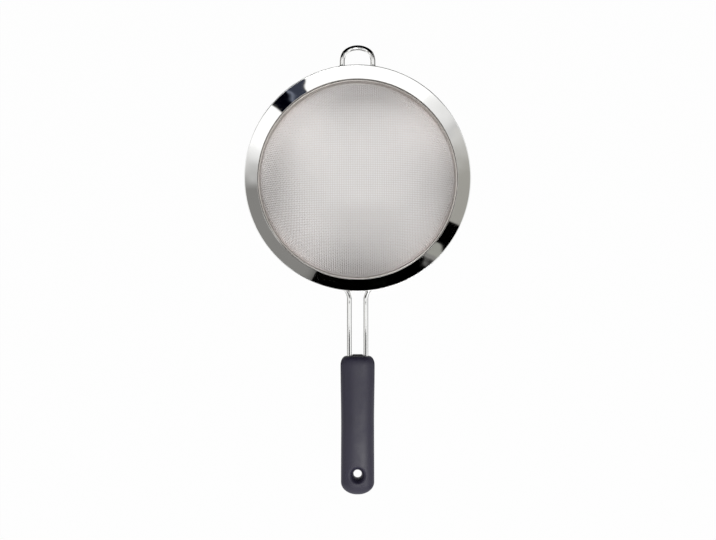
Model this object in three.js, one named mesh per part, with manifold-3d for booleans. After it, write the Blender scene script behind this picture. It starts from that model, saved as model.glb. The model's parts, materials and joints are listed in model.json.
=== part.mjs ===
// Kitchen sieve with a long handle: a pressed steel rim carries a bowl of wire cloth, and a clamp
// ring inside the rim's collar holds the edge of the cloth. Two rods under the rim carry a soft
// grip moulded over a hard core, and a wire loop on the far side rests on the edge of a pot.
//
// Millimetres, +Z up, mouth up, handle along -Y. The origin lies under the middle of the overall
// length, level with the lowest wire of the bowl.

import * as THREE from 'three';
import { mergeVertices } from 'three/addons/utils/BufferGeometryUtils.js';
import Module from 'manifold-3d';

const wasm = await Module();
wasm.setup();

// Rim: a flat-topped lip outside, a polished cone falling inwards, a collar going straight down
const RIM_DIAMETER = 226.8;
const RIM_SHEET = 0.8;
const LIP_WIDTH = 0.9;
const LIP_HEIGHT = 2.2;
const LIP_STEP = 0.15; // from the lip's flat top down to the cone
const LIP_ROUND = 0.25;
const CONE_WIDTH = 11.2; // seen from above
const CONE_SLOPE = THREE.MathUtils.degToRad(43);
const COLLAR_HEIGHT = 13;
const COLLAR_BEND = 0.6;

// Bowl of wire cloth, with a woven hem standing between the collar and the clamp ring
const BOWL_DEPTH = 95; // from the lip's flat top to the lowest wire
const CLOTH_PITCH = 12.5;
const WIRE_WIDTH = 1.1;
const WIRE_THICKNESS = 1.1;
const HEM_THICKNESS = 0.6;
const HEM_LAP = 1.2; // how far the hem reaches down over the ends of the wires

// Clamp ring: a band whose top edge turns out over the hem
const CLAMP_SHEET = 0.7;
const CLAMP_ROUND = 0.3;

// Handle rods and rest loop
const ROD_DIAMETER = 4.8;
const ROD_SPACING = 16.6;
const ROD_REACH = 65.4; // bare length from the rim's edge to the grip
const ROD_BEND = 11;
const ROD_TAIL = 26; // length that follows the rim underneath
const ROD_SOCKET = 55; // length held in the grip's core
const ROD_DROP = 7.5; // from the lip's flat top to the middle of the rods
const LOOP_WIRE = 5;
const LOOP_WIDTH = 35.8;
const LOOP_LEG = 2.6; // straight stretch between the bend and the arch
const LOOP_BEND = 8;
const LOOP_TAIL = 18;
const LOOP_FLAT = 8.2; // level stretch of the arch, before it is bent down
const LOOP_DROOP = THREE.MathUtils.degToRad(30);
const LOOP_FOLD = 5; // radius of the wire's middle where it is bent down

// Grip: widths and thicknesses at the shoulder, the waist and the tail
const GRIP_LENGTH = 139.4;
const FRONT_WALL = 1; // beside the rods where they enter the cover
const FRONT_THICKNESS = 13;
const SHOULDER_LENGTH = 9;
const SHOULDER_WIDTH = 35.9;
const SHOULDER_THICKNESS = 20;
const WAIST_WIDTH = 34.6;
const WAIST_THICKNESS = 22;
const TAIL_LENGTH = 12.5;
const TAIL_WIDTH = 34.8;
const TAIL_THICKNESS = 19;
const GRIP_FULLNESS = 2.5; // 2 is an oval section, more is squarer
const HOLE_FROM_END = 21;
const HOLE_THROAT = 9;
const HOLE_MOUTH = 16;
const COVER_SIDE = 3.5; // soft wall beside the core
const COVER_FACE = 2.5; // soft wall over and under the core
const COVER_TAIL = 7.5; // soft wall behind the core
const THROAT_WALL = 1.3; // soft lining of the core's eye
const CORE_ROUND = 2;
const CORE_FRONT = 10; // from the shoulder's front face back to the core's body
const NOSE_LENGTH = 1.7; // how far the core's nose stands out between the rods
const NOSE_THICKNESS = 4.8;
const NOSE_ROUND = 1.2;
const NOSE_EDGE = 0.5;

// Clearance between pieces that seat on each other
const FIT = 0.3;

// Facets
const RING_FACETS = 64;
const WIRE_SIDES = 10;
const ROUND_STEPS = 2;
const SECTION_POINTS = 32;
const HOLE_FACETS = 24;

// Places that several pieces share
const rimRadius = RIM_DIAMETER / 2;
const coneTop = rimRadius - LIP_WIDTH;
const collarRadius = coneTop - CONE_WIDTH;
const collarTop = BOWL_DEPTH - LIP_STEP - CONE_WIDTH * Math.tan(CONE_SLOPE);
const collarBottom = collarTop - COLLAR_HEIGHT;
const clothRadius = collarRadius - FIT - HEM_THICKNESS / 2;
const clothEdge = collarBottom - FIT;
const clampRadius = clothRadius - HEM_THICKNESS / 2 - FIT;
const clampTop = collarTop - COLLAR_BEND;
const hemTop = clampTop - CLAMP_SHEET - FIT;
const rodLevel = BOWL_DEPTH - ROD_DROP;

// Radius at which a wire lies against the underside of the cone
function radiusUnderCone(wireDiameter) {
  const underside = LIP_STEP + RIM_SHEET / Math.cos(CONE_SLOPE);
  const away = wireDiameter / 2 + FIT;
  return coneTop + (away - (ROD_DROP - underside) * Math.cos(CONE_SLOPE)) / Math.sin(CONE_SLOPE);
}

// Bend from a straight wire at x onto the circle under the cone: its middle, and where the circle
// takes over, as an angle from the wire's own side of the rim
function bendOntoRim(x, bend, followRadius) {
  const middle = new THREE.Vector2(x + bend, Math.sqrt((followRadius + bend) ** 2 - (x + bend) ** 2));
  return { middle, turn: Math.asin((x + bend) / (followRadius + bend)) };
}

// Place of a point of the flat loop after everything past the line is bent down
function droop(past) {
  const turn = THREE.MathUtils.clamp(past / LOOP_FOLD, 0, LOOP_DROOP);
  const straight = past - turn * LOOP_FOLD;
  return {
    along: LOOP_FOLD * Math.sin(turn) + straight * Math.cos(turn),
    down: LOOP_FOLD * (1 - Math.cos(turn)) + straight * Math.sin(turn),
  };
}

const rodX = ROD_SPACING / 2;
const rodFollow = radiusUnderCone(ROD_DIAMETER);
const loopX = (LOOP_WIDTH - LOOP_WIRE) / 2;
const loopFollow = radiusUnderCone(LOOP_WIRE);
const loopBend = bendOntoRim(loopX, LOOP_BEND, loopFollow);
const archY = loopBend.middle.y + LOOP_LEG;
const foldY = archY + LOOP_FLAT;
const loopReach = foldY + droop(loopX - LOOP_FLAT).along + LOOP_WIRE / 2;
const gripFront = -rimRadius - ROD_REACH;
const bowlY = (GRIP_LENGTH - gripFront - loopReach) / 2;

// A closed geometry as a solid that can be joined and cut
function solidOf(geometry) {
  const bare = geometry.clone();
  bare.deleteAttribute('normal');
  bare.deleteAttribute('uv');
  const merged = mergeVertices(bare, 1e-4);
  return new wasm.Manifold(new wasm.Mesh({
    numProp: 3,
    vertProperties: new Float32Array(merged.attributes.position.array),
    triVerts: new Uint32Array(merged.index.array),
  }));
}

function geometryOf(solid) {
  const mesh = solid.getMesh();
  const geometry = new THREE.BufferGeometry();
  geometry.setAttribute('position', new THREE.BufferAttribute(mesh.vertProperties, 3));
  geometry.setIndex(new THREE.BufferAttribute(mesh.triVerts, 1));
  geometry.computeVertexNormals();
  return geometry;
}

// Closed outline through corners of [x, y, rounding], listed anticlockwise
function roundedOutline(corners) {
  const outline = new THREE.Path();
  corners.forEach(([x, y, rounding = 0], i) => {
    const corner = new THREE.Vector2(x, y);
    const towards = (j) => {
      const [nx, ny] = corners.at(j % corners.length);
      return new THREE.Vector2(nx, ny).sub(corner).normalize().multiplyScalar(rounding).add(corner);
    };
    const start = towards(i - 1);
    const end = towards(i + 1);
    if (i === 0) outline.moveTo(start.x, start.y);
    else outline.lineTo(start.x, start.y);
    if (rounding > 0) outline.quadraticCurveTo(corner.x, corner.y, end.x, end.y);
  });
  outline.closePath();
  return outline.getPoints(ROUND_STEPS);
}

// Outline of [radius, height] points turned about the Z axis
function revolve(outline, facets) {
  return new THREE.LatheGeometry(outline, facets).rotateX(Math.PI / 2);
}

function rimFlange() {
  const slope = Math.tan(CONE_SLOPE);
  const under = RIM_SHEET / Math.cos(CONE_SLOPE);
  const lipTop = BOWL_DEPTH;
  const outer = collarRadius + RIM_SHEET;
  const underAt = (radius) => lipTop - LIP_STEP - under - (coneTop - radius) * slope;
  const hemRadius = coneTop - (LIP_HEIGHT - LIP_STEP - under) / slope;
  return revolve(roundedOutline([
    [collarRadius, collarBottom],
    [outer, collarBottom],
    [outer, underAt(outer), COLLAR_BEND],
    [hemRadius, underAt(hemRadius)],
    [rimRadius, lipTop - LIP_HEIGHT, LIP_ROUND],
    [rimRadius, lipTop, LIP_ROUND],
    [coneTop + LIP_STEP / slope, lipTop],
    [coneTop, lipTop - LIP_STEP],
    [collarRadius, collarTop, COLLAR_BEND],
  ]), RING_FACETS);
}

function clampRing() {
  const inner = clampRadius - CLAMP_SHEET;
  const lap = collarRadius - FIT;
  return revolve(roundedOutline([
    [inner, collarBottom],
    [clampRadius, collarBottom],
    [clampRadius, clampTop - CLAMP_SHEET],
    [lap, clampTop - CLAMP_SHEET],
    [lap, clampTop, CLAMP_ROUND],
    [inner, clampTop, CLAMP_ROUND],
  ]), RING_FACETS);
}

// Bowl surface: half an oblate spheroid that runs on straight up past the edge of the collar
const domeBottom = WIRE_THICKNESS / 2;
const domeDepth = clothEdge - domeBottom;

function domeLevel({ x, y, z }) {
  const below = Math.max(0, clothEdge - z) / domeDepth;
  return (x * x + y * y) / clothRadius ** 2 + below ** 2 - 1;
}

function domeOutward({ x, y, z }) {
  const below = Math.max(0, clothEdge - z) / domeDepth ** 2;
  return new THREE.Vector3(x / clothRadius ** 2, y / clothRadius ** 2, -below);
}

// Point of the bowl one pitch away from two neighbouring crossings, found from a first guess
function nextCrossing(guess, left, right) {
  const point = guess.clone();
  for (let step = 0; step < 12; step += 1) {
    const toLeft = point.clone().sub(left);
    const toRight = point.clone().sub(right);
    const out = domeOutward(point).multiplyScalar(2);
    const miss = new THREE.Vector3(
      toLeft.lengthSq() - CLOTH_PITCH ** 2,
      toRight.lengthSq() - CLOTH_PITCH ** 2,
      domeLevel(point),
    );
    const slopes = new THREE.Matrix3().set(
      2 * toLeft.x, 2 * toLeft.y, 2 * toLeft.z,
      2 * toRight.x, 2 * toRight.y, 2 * toRight.z,
      out.x, out.y, out.z,
    );
    point.sub(miss.applyMatrix3(slopes.invert()));
  }
  return point;
}

// Crossings of one quarter of the cloth. Flat cloth drawn into a bowl keeps the pitch of its wires
// and shears, so each crossing lies one pitch from the two before it.
function quarterOfCrossings() {
  const meridian = new THREE.CurvePath();
  meridian.add(new THREE.EllipseCurve(0, clothEdge, clothRadius, domeDepth, -Math.PI / 2, 0));
  const curved = meridian.getLength();
  const rows = Math.ceil(curved / CLOTH_PITCH) + 1;
  const top = clothEdge + rows * CLOTH_PITCH - curved;
  meridian.add(new THREE.LineCurve(
    new THREE.Vector2(clothRadius, clothEdge),
    new THREE.Vector2(clothRadius, top),
  ));
  const spine = meridian.getSpacedPoints(rows);
  const net = spine.map(({ x, y }) => [new THREE.Vector3(x, 0, y)]);
  net[0] = spine.map(({ x, y }) => new THREE.Vector3(0, x, y));
  for (let i = 1; i <= rows; i += 1) {
    for (let j = 1; j <= rows && net[i - 1][j - 1]?.z < clothEdge; j += 1) {
      const guess = net[i - 1][j].clone().add(net[i][j - 1]).sub(net[i - 1][j - 1]);
      net[i][j] = nextCrossing(guess, net[i - 1][j], net[i][j - 1]);
    }
  }
  return net;
}

// Wires of diamond section along every side of the net, fused at the crossings. A cell is a hole
// with four corners halfway through the cloth, and each crossing has a ridge point on both faces.
function wireLattice() {
  const net = quarterOfCrossings();
  const positions = [];
  const triangles = [];
  const ridges = new Map();
  const nearest = (index) => Math.min(Math.abs(index), Math.abs(index + 1));
  const holds = (i, j) => net[nearest(i)]?.[nearest(j)]?.z < clothEdge
    && net[nearest(i) + 1]?.[nearest(j) + 1] !== undefined;
  const crossing = (i, j) => {
    const { x, y, z } = net[Math.abs(i)][Math.abs(j)];
    return new THREE.Vector3(Math.sign(i) * x, Math.sign(j) * y, z);
  };
  const addPoint = ({ x, y, z }) => positions.push(x, y, z) / 3 - 1;
  const addQuad = (a, b, c, d) => triangles.push(a, b, c, a, c, d);
  const ridge = (i, j) => {
    const key = `${i},${j}`;
    if (!ridges.has(key)) {
      const at = crossing(i, j);
      const out = domeOutward(at).setLength(WIRE_THICKNESS / 2);
      ridges.set(key, [addPoint(at.clone().sub(out)), addPoint(at.clone().add(out))]);
    }
    return ridges.get(key);
  };
  const addCell = (i, j) => {
    const corners = [[i, j], [i + 1, j], [i + 1, j + 1], [i, j + 1]];
    const beyond = [[i, j - 1], [i + 1, j], [i, j + 1], [i - 1, j]];
    const places = corners.map(([a, b]) => crossing(a, b));
    const hole = places.map((at, k) => {
      const ahead = places[(k + 1) % 4].clone().sub(at).normalize();
      const behind = places[(k + 3) % 4].clone().sub(at).normalize();
      const inset = WIRE_WIDTH / 2 / ahead.clone().cross(behind).length();
      return addPoint(ahead.add(behind).multiplyScalar(inset).add(at));
    });
    corners.forEach((corner, k) => {
      const next = (k + 1) % 4;
      const [inner, outer] = ridge(...corner);
      const [nextInner, nextOuter] = ridge(...corners[next]);
      addQuad(inner, nextInner, hole[next], hole[k]);
      addQuad(nextOuter, outer, hole[k], hole[next]);
      if (!holds(...beyond[k])) addQuad(nextInner, inner, outer, nextOuter);
    });
  };
  for (let i = -net.length; i < net.length; i += 1) {
    for (let j = -net.length; j < net.length; j += 1) {
      if (holds(i, j)) addCell(i, j);
    }
  }
  const geometry = new THREE.BufferGeometry();
  geometry.setAttribute('position', new THREE.Float32BufferAttribute(positions, 3));
  geometry.setIndex(triangles);
  return geometry;
}

function meshBowl() {
  const wide = RIM_DIAMETER + 4 * CLOTH_PITCH;
  const below = new THREE.BoxGeometry(wide, wide, 2 * clothEdge);
  const inner = clothRadius - HEM_THICKNESS / 2;
  const outer = clothRadius + HEM_THICKNESS / 2;
  const hem = revolve(roundedOutline([
    [inner, clothEdge - HEM_LAP],
    [outer, clothEdge - HEM_LAP],
    [outer, hemTop],
    [inner, hemTop],
  ]), RING_FACETS);
  return geometryOf(solidOf(wireLattice()).intersect(solidOf(below)).add(solidOf(hem)));
}

// A wire's flat route: plane curves end to end, each with its own number of steps
class WireRoute extends THREE.Curve {
  constructor(runs, side = 1) {
    super();
    this.runs = runs;
    this.side = side;
    this.steps = runs.reduce((sum, [, steps]) => sum + steps, 0);
  }

  getPoint(t, target = new THREE.Vector3()) {
    let station = t * this.steps;
    let run = 0;
    while (run < this.runs.length - 1 && station > this.runs[run][1]) {
      station -= this.runs[run][1];
      run += 1;
    }
    const [curve, steps] = this.runs[run];
    const { x, y } = curve.getPoint(Math.min(1, station / steps));
    return target.set(this.side * x, y, 0);
  }

  getUtoTmapping(u) {
    return u;
  }
}

// Flat route of which everything past the fold is bent down
class DroopingRoute extends WireRoute {
  getPoint(t, target = new THREE.Vector3()) {
    const { x, y } = super.getPoint(t, target);
    const { along, down } = droop(y - foldY);
    return target.set(x, foldY + along, -down);
  }
}

function wireAlong(route, diameter) {
  const section = new THREE.Shape().absarc(0, 0, diameter / 2, 0, 2 * Math.PI);
  return new THREE.ExtrudeGeometry(section, {
    extrudePath: route,
    steps: route.steps,
    curveSegments: WIRE_SIDES / 2,
  });
}

function arc(middle, radius, from, to, clockwise) {
  return new THREE.EllipseCurve(middle.x, middle.y, radius, radius, from, to, clockwise);
}

function line(fromX, fromY, toX, toY) {
  return new THREE.LineCurve(new THREE.Vector2(fromX, fromY), new THREE.Vector2(toX, toY));
}

const BEND_STEPS = 7;
const TAIL_STEPS = 4;
const ARCH_STEPS = 22;
const QUARTER = Math.PI / 2;
const bowlAxis = new THREE.Vector2(0, 0);

// From the socket in the grip to the rim, then outwards round it. Side is 1 to the right.
function handleRod(side) {
  const { middle, turn } = bendOntoRim(rodX, ROD_BEND, rodFollow);
  const end = turn + ROD_TAIL / rodFollow;
  const socketEnd = gripFront - CORE_FRONT - ROD_SOCKET;
  middle.y *= -1;
  return wireAlong(new WireRoute([
    [line(rodX, socketEnd, rodX, middle.y), 1],
    [arc(middle, ROD_BEND, 2 * QUARTER, QUARTER + turn, true), BEND_STEPS],
    [arc(bowlAxis, rodFollow, turn - QUARTER, end - QUARTER, false), TAIL_STEPS],
  ], side), ROD_DIAMETER);
}

// Round the rim, out along one leg, over the arch, back along the other leg and round the rim. The
// end of the arch is bent down, to catch the edge of a pot.
function restLoop() {
  const { middle, turn } = loopBend;
  const left = new THREE.Vector2(-middle.x, middle.y);
  const end = turn + LOOP_TAIL / loopFollow;
  return wireAlong(new DroopingRoute([
    [arc(bowlAxis, loopFollow, QUARTER - end, QUARTER - turn, false), TAIL_STEPS],
    [arc(middle, LOOP_BEND, 3 * QUARTER - turn, 2 * QUARTER, true), BEND_STEPS],
    [line(loopX, middle.y, loopX, archY), 1],
    [arc(new THREE.Vector2(0, archY), loopX, 0, 2 * QUARTER, false), ARCH_STEPS],
    [line(-loopX, archY, -loopX, middle.y), 1],
    [arc(left, LOOP_BEND, 0, turn - QUARTER, true), BEND_STEPS],
    [arc(bowlAxis, loopFollow, QUARTER + turn, QUARTER + end, false), TAIL_STEPS],
  ]), LOOP_WIRE);
}

// The grip is drawn from its front face at y = 0 back to y = -GRIP_LENGTH, about the rods' level
const holeY = HOLE_FROM_END - GRIP_LENGTH;
const frontWidth = ROD_SPACING + ROD_DIAMETER + 2 * (FIT + FRONT_WALL);
const coreWidth = Math.min(SHOULDER_WIDTH, WAIST_WIDTH, TAIL_WIDTH) - 2 * COVER_SIDE;
const coreThickness = Math.min(SHOULDER_THICKNESS, WAIST_THICKNESS, TAIL_THICKNESS) - 2 * COVER_FACE;
const mouthLevel = TAIL_THICKNESS / 2;

// The hang hole is narrow at the middle of the grip and flares to its mouths on both faces
function holeRadius(level) {
  return (HOLE_THROAT + (HOLE_MOUTH - HOLE_THROAT) * (level / mouthLevel) ** 2) / 2;
}

// Skin over closed rings of points, with a cap at the first and a point at the end
function loft(rings, tip) {
  const count = rings[0].length;
  const points = rings.flat();
  const front = rings[0].reduce((sum, p) => sum.add(p), new THREE.Vector3()).divideScalar(count);
  const frontIndex = points.push(front) - 1;
  const tipIndex = points.push(tip) - 1;
  const lastRing = (rings.length - 1) * count;
  const triangles = [];
  for (let k = 0; k < count; k += 1) {
    const next = (k + 1) % count;
    for (let start = 0; start < lastRing; start += count) {
      triangles.push(start + k, start + next, start + count + next);
      triangles.push(start + k, start + count + next, start + count + k);
    }
    triangles.push(frontIndex, next, k, tipIndex, lastRing + k, lastRing + next);
  }
  const geometry = new THREE.BufferGeometry().setFromPoints(points);
  geometry.setIndex(triangles);
  return geometry;
}

// Oval section of the grip, squarer than an ellipse, across the handle at y
function gripSection(y, halfWidth, halfThickness) {
  return Array.from({ length: SECTION_POINTS }, (_, k) => {
    const angle = (2 * Math.PI * k) / SECTION_POINTS;
    const bulge = (value) => Math.sign(value) * Math.abs(value) ** (2 / GRIP_FULLNESS);
    return new THREE.Vector3(
      halfWidth * bulge(Math.cos(angle)),
      y,
      halfThickness * bulge(Math.sin(angle)),
    );
  });
}

// Rounded shoulder, gently waisted body and rounded tail
function gripBody() {
  const shoulderSteps = 5;
  const bodySteps = 8;
  const tailSteps = 6;
  const bodyLength = GRIP_LENGTH - SHOULDER_LENGTH - TAIL_LENGTH;
  const sizes = new THREE.SplineCurve([
    new THREE.Vector2(SHOULDER_WIDTH, SHOULDER_THICKNESS),
    new THREE.Vector2(WAIST_WIDTH, WAIST_THICKNESS),
    new THREE.Vector2(TAIL_WIDTH, TAIL_THICKNESS),
  ]);
  const rings = [];
  for (let k = 0; k < shoulderSteps; k += 1) {
    const angle = (QUARTER * k) / shoulderSteps;
    const width = frontWidth + (SHOULDER_WIDTH - frontWidth) * Math.sin(angle);
    const thickness = FRONT_THICKNESS
      + (SHOULDER_THICKNESS - FRONT_THICKNESS) * Math.sin(angle);
    rings.push(gripSection(-SHOULDER_LENGTH * (1 - Math.cos(angle)), width / 2, thickness / 2));
  }
  for (let k = 0; k < bodySteps; k += 1) {
    const { x: width, y: thickness } = sizes.getPoint(k / bodySteps);
    rings.push(gripSection(-SHOULDER_LENGTH - (bodyLength * k) / bodySteps, width / 2, thickness / 2));
  }
  for (let k = 0; k < tailSteps; k += 1) {
    const angle = (QUARTER * k) / tailSteps;
    const y = TAIL_LENGTH * (1 - Math.sin(angle)) - GRIP_LENGTH;
    rings.push(gripSection(y, TAIL_WIDTH / 2 * Math.cos(angle), TAIL_THICKNESS / 2 * Math.cos(angle)));
  }
  return loft(rings, new THREE.Vector3(0, -GRIP_LENGTH, 0));
}

// Flat plate from -half to +half in Z, its edges rounded
function plate(shape, thickness, rounding) {
  return new THREE.ExtrudeGeometry(shape, {
    depth: thickness - 2 * rounding,
    curveSegments: HOLE_FACETS / 2,
    bevelEnabled: rounding > 0,
    bevelThickness: rounding,
    bevelSize: rounding,
    bevelOffset: -rounding,
    bevelSegments: ROUND_STEPS,
  }).translate(0, 0, rounding - thickness / 2);
}

// Tongue with a round eye at its end, and the nose that stands out between the rods. The same shape
// grown by the fit is the space that the cover leaves for it.
function coreForm(grow) {
  const half = coreWidth / 2 + grow;
  const front = grow - CORE_FRONT;
  const endMiddle = COVER_TAIL + coreWidth / 2 - GRIP_LENGTH;
  const eyeRadius = holeRadius(coreThickness / 2) + THROAT_WALL + FIT - grow;
  const tongue = new THREE.Shape();
  tongue.moveTo(half, front);
  tongue.lineTo(-half, front);
  tongue.lineTo(-half, endMiddle);
  tongue.absarc(0, endMiddle, half, Math.PI, 2 * Math.PI, false);
  tongue.closePath();
  const eye = new THREE.Path().absarc(0, holeY, eyeRadius, 0, 2 * Math.PI, true);
  tongue.holes.push(eye);
  return solidOf(plate(tongue, coreThickness + 2 * grow, CORE_ROUND));
}

function noseForm() {
  const half = rodX - ROD_DIAMETER / 2 - FIT;
  const root = -CORE_FRONT - CORE_ROUND;
  const nose = new THREE.Shape(roundedOutline([
    [-half, root],
    [half, root],
    [half, NOSE_LENGTH, NOSE_ROUND],
    [-half, NOSE_LENGTH, NOSE_ROUND],
  ]));
  return solidOf(plate(nose, NOSE_THICKNESS, NOSE_EDGE));
}

function rodBore(side) {
  const depth = ROD_SOCKET + FIT;
  const bore = new THREE.CylinderGeometry(
    ROD_DIAMETER / 2 + FIT,
    ROD_DIAMETER / 2 + FIT,
    2 * depth,
    HOLE_FACETS / 2,
  );
  return solidOf(bore.translate(side * rodX, -CORE_FRONT, 0));
}

function gripCore() {
  const bores = rodBore(1).add(rodBore(-1));
  return geometryOf(coreForm(0).subtract(bores).add(noseForm()));
}

// Slot in the cover's front face round the nose and both rods
function frontSlot() {
  const half = Math.max(ROD_DIAMETER, NOSE_THICKNESS) / 2 + FIT;
  const slot = new THREE.Shape();
  slot.absarc(rodX, 0, half, -QUARTER, QUARTER, false);
  slot.absarc(-rodX, 0, half, QUARTER, 3 * QUARTER, false);
  slot.closePath();
  const length = 2 * CORE_FRONT;
  const block = new THREE.ExtrudeGeometry(slot, {
    depth: length,
    bevelEnabled: false,
    curveSegments: HOLE_FACETS / 4,
  });
  return solidOf(block.rotateX(QUARTER).translate(0, length / 2, 0));
}

function hangHole() {
  const reach = Math.max(SHOULDER_THICKNESS, WAIST_THICKNESS, TAIL_THICKNESS);
  const flareSteps = 8;
  const wall = [];
  for (let k = 0; k <= flareSteps; k += 1) {
    const z = mouthLevel * ((2 * k) / flareSteps - 1);
    wall.push(new THREE.Vector2(holeRadius(z), z));
  }
  const outline = [
    new THREE.Vector2(0, -reach),
    new THREE.Vector2(HOLE_MOUTH / 2, -reach),
    ...wall,
    new THREE.Vector2(HOLE_MOUTH / 2, reach),
    new THREE.Vector2(0, reach),
  ];
  return solidOf(revolve(outline, HOLE_FACETS).translate(0, holeY, 0));
}

function gripCover() {
  return geometryOf(
    solidOf(gripBody()).subtract(coreForm(FIT)).subtract(frontSlot()).subtract(hangHole()),
  );
}

// Materials, and the named pieces in their places
const polishedSteel = { color: 0xd9d9d6, roughness: 0.12, metalness: 1 };
const brushedSteel = { color: 0xbdb9b4, roughness: 0.35, metalness: 1 };
const clothSteel = { color: 0xc8c4c2, roughness: 0.4, metalness: 1 };
const softRubber = { color: 0x2b2c30, roughness: 0.6, metalness: 0 };
const hardPlastic = { color: 0x17181a, roughness: 0.45, metalness: 0 };

function piece(name, geometry, finish) {
  const mesh = new THREE.Mesh(geometry, new THREE.MeshStandardMaterial(finish));
  mesh.name = name;
  return mesh;
}

const bowl = new THREE.Group();
bowl.position.set(0, bowlY, 0);
bowl.add(
  piece('rim_flange', rimFlange(), polishedSteel),
  piece('mesh_bowl', meshBowl(), clothSteel),
  piece('clamp_ring', clampRing(), brushedSteel),
);

const wires = new THREE.Group();
wires.position.set(0, bowlY, rodLevel);
wires.add(
  piece('handle_rod_left', handleRod(-1), polishedSteel),
  piece('handle_rod_right', handleRod(1), polishedSteel),
  piece('rest_loop', restLoop(), polishedSteel),
);

const grip = new THREE.Group();
grip.position.set(0, bowlY + gripFront, rodLevel);
grip.add(
  piece('grip_core', gripCore(), hardPlastic),
  piece('grip_cover', gripCover(), softRubber),
);

const sieve = new THREE.Group();
sieve.add(bowl, wires, grip);

export default sieve;
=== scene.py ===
"""Looks of a long-handled kitchen sieve, laid out as a Blender add-on and run as a script.

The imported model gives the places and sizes. Each operator makes one piece, or one group of like
pieces, in metres: the polished rim, the clamp ring, the woven wire cloth, the handle rods, the rest
loop and the grip. The last one sets the stage.
"""

import json
import math

import bmesh
import bpy
import numpy as np
from bpy.props import FloatProperty, FloatVectorProperty, IntProperty, PointerProperty
from mathutils import Matrix, Vector


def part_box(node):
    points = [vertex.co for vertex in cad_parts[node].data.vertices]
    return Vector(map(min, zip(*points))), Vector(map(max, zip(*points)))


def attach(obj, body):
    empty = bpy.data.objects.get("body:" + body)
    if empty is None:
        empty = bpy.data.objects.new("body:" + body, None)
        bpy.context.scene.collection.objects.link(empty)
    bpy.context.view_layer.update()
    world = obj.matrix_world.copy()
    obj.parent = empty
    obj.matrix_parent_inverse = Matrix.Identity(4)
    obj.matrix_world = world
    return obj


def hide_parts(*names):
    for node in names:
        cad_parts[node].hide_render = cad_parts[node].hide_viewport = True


bl_info = {
    "name": "Kitchen sieve",
    "version": (1, 0, 0),
    "blender": (4, 5, 0),
    "location": "3D View > Sidebar > Sieve",
    "description": "Dresses the packed model of a kitchen sieve",
    "category": "Object",
}

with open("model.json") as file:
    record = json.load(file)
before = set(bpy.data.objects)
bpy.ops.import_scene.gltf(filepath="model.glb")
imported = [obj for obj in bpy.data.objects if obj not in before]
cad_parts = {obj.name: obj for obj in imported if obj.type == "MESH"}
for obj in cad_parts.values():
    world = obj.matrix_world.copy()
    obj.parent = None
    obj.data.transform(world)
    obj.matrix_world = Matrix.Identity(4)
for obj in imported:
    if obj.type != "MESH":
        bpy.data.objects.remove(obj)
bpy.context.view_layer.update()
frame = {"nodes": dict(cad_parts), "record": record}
BODY = "root"

RIM_LOW, RIM_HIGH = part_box("rim_flange")
ROD_LOW, ROD_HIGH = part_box("handle_rod_right")
GRIP_LOW, GRIP_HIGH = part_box("grip_cover")
CLAMP_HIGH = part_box("clamp_ring")[1]
CLOTH_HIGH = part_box("mesh_bowl")[1]
LOOP_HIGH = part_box("rest_loop")[1]
OPENINGS = {o["name"]: o["box_m"] for o in frame["record"]["physics"]["openings"]}
HOLE_LOW, HOLE_HIGH = (Vector(corner) for corner in OPENINGS["hang_hole"])

BOWL_Y = (RIM_LOW.y + RIM_HIGH.y) / 2
BOWL_AXIS = Vector((0, BOWL_Y, 0))
WIRE_LEVEL = (ROD_LOW.z + ROD_HIGH.z) / 2
UP = Vector((0, 0, 1))
QUARTER = math.pi / 2
FULL_TURN = 2 * math.pi
MERGE = 1e-6


def length(name, default, description):
    """Property that holds a length in metres."""
    return FloatProperty(
        name=name, description=description, default=default, precision=5, unit="LENGTH"
    )


def angle(name, degrees, description):
    """Property that holds an angle, given here in degrees."""
    return FloatProperty(
        name=name, description=description, default=math.radians(degrees), subtype="ANGLE"
    )


def share(name, default, description):
    """Property that holds a plain number, such as a share or a brightness."""
    return FloatProperty(name=name, description=description, default=default, precision=4)


def count(name, default, description):
    """Property that holds a count of faces or steps."""
    return IntProperty(name=name, description=description, default=default, min=3)


def colour(name, default, description):
    """Property that holds a linear colour."""
    return FloatVectorProperty(
        name=name, description=description, default=default, subtype="COLOR", size=3, min=0, max=1
    )


class SieveRim(bpy.types.PropertyGroup):
    """Sizes of the pressed steel rim and of the clamp ring inside its collar."""

    radius: length("Radius", (RIM_HIGH.x - RIM_LOW.x) / 2, "Outer radius of the lip")
    top: length("Top", RIM_HIGH.z, "Height of the lip's flat top")
    bottom: length("Bottom", RIM_LOW.z, "Height of the collar's lower edge")
    sheet: length("Sheet", 0.0008, "Thickness of the pressed sheet")
    lip_width: length("Lip width", 0.0009, "Width of the lip outside the cone")
    lip_height: length("Lip height", 0.0022, "Height of the folded lip")
    lip_step: length("Lip step", 0.00015, "Step from the lip's top down to the cone")
    lip_round: length("Lip rounding", 0.0003, "Rounding of the lip's outer edges")
    cone_width: length("Cone width", 0.0112, "Width of the cone seen from above")
    cone_slope: angle("Cone slope", 43, "Slope of the cone, falling inwards")
    bend: length("Collar bend", 0.0006, "Rounding between the cone and the collar")
    edge_round: length("Edge rounding", 0.00012, "Rounding of cut edges")
    clamp_top: length("Clamp top", CLAMP_HIGH.z, "Height of the clamp ring's top")
    clamp_lap: length("Clamp lap", CLAMP_HIGH.x, "Radius that the clamp ring's top reaches out to")
    clamp_sheet: length("Clamp sheet", 0.0007, "Thickness of the clamp ring")
    fit: length("Fit", 0.0003, "Clearance between pieces that seat on each other")
    steps: count("Steps", 288, "Steps round the bowl's axis")


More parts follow.
